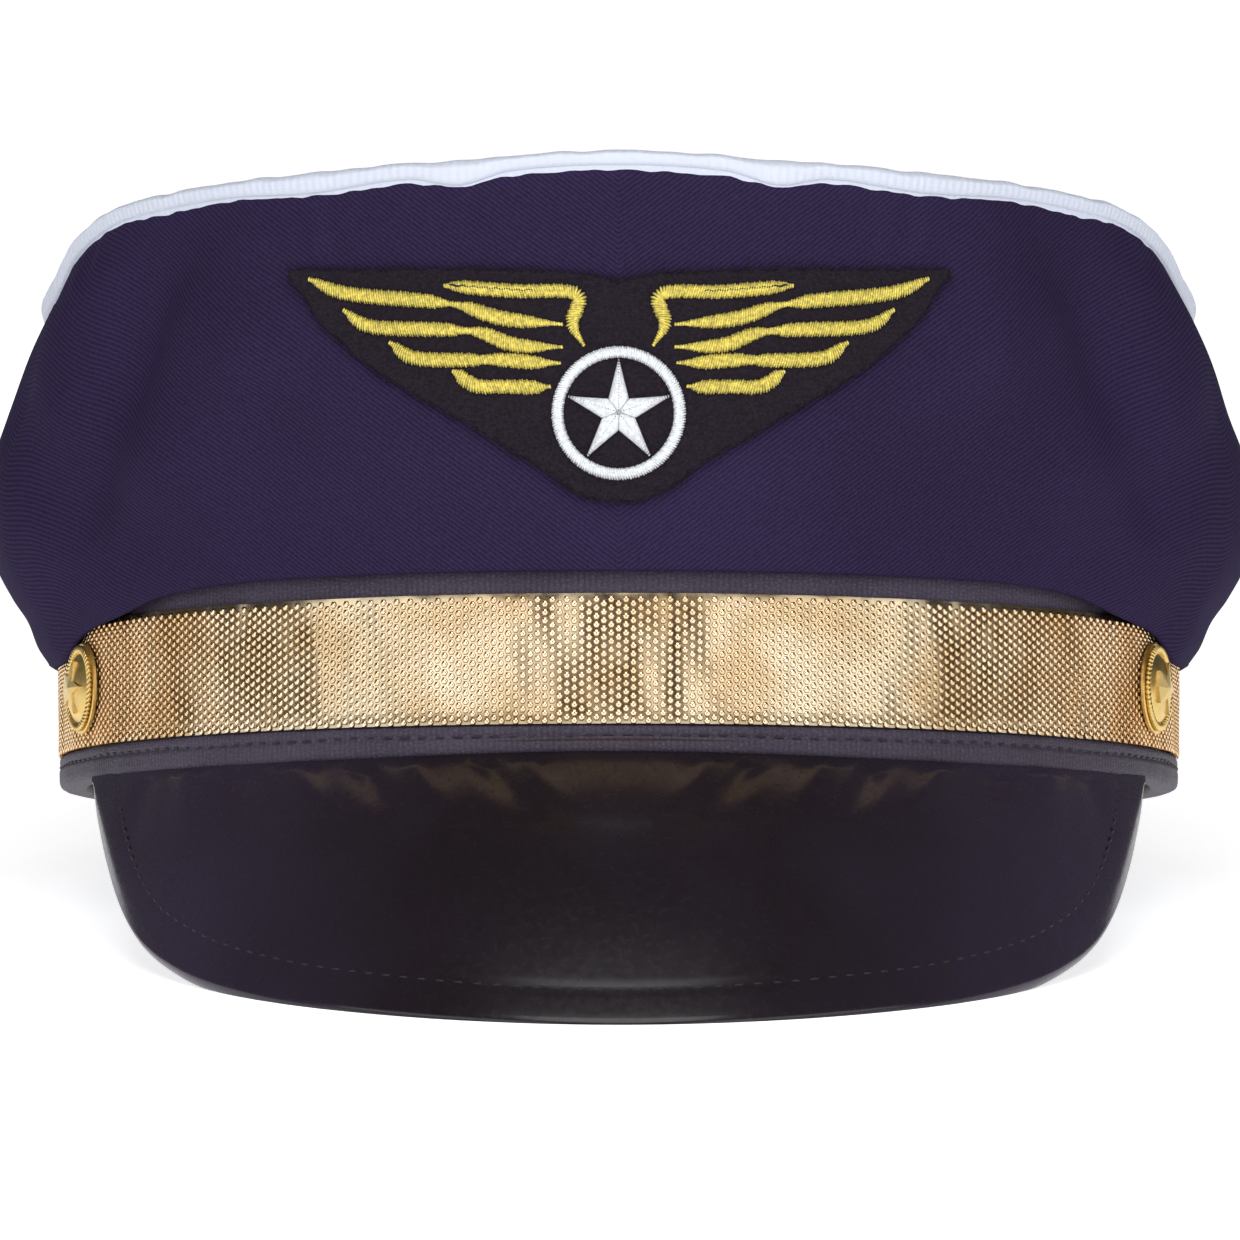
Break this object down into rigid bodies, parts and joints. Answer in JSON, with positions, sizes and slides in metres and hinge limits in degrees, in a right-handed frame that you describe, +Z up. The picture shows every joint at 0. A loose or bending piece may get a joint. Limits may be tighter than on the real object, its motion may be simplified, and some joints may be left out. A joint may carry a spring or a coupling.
{
  "type": "pilot's peaked cap",
  "caption": "Pilot's peaked cap with a puffed twill crown, white top, wide gold strap, side buttons, glossy peak and a winged badge on the front.",
  "frame": {"origin": "on the surface that the cap rests on, under the middle of its overall box", "axes": "+Z up, the peak towards -Y, +X to the right when looking at the front"},
  "size_m": [0.2046, 0.261, 0.1249],
  "materials": {
    "navy_twill": "dark navy cotton twill with fine diagonal ribs",
    "white_cloth": "smooth white cloth",
    "dark_grain": "dark grey grained leatherette, stitched",
    "gold_ribbon": "metallic gold ribbon embossed all over with fine round beads",
    "gold_metal": "polished gold-coloured metal",
    "black_gloss": "glossy black vinyl with a stitched line",
    "black_felt": "matt black cloth",
    "gold_thread": "gold satin-stitch embroidery",
    "white_thread": "white satin-stitch embroidery"
  },
  "bodies": {
    "root": {"band": "dark_grain", "rim_binding": "dark_grain", "gold_strap": "gold_ribbon", "crown_side": "navy_twill", "crown_top": "white_cloth", "peak": "black_gloss", "button_left": "gold_metal", "button_right": "gold_metal", "badge_patch": "black_felt", "badge_ring": "white_thread", "badge_star": "white_thread", "wing_hook_left": "gold_thread", "wing_hook_right": "gold_thread", "feather_1_left": "gold_thread", "feather_1_right": "gold_thread", "feather_2_left": "gold_thread", "feather_2_right": "gold_thread", "feather_3_left": "gold_thread", "feather_3_right": "gold_thread", "feather_4_left": "gold_thread", "feather_4_right": "gold_thread"}
  },
  "joints": []
}
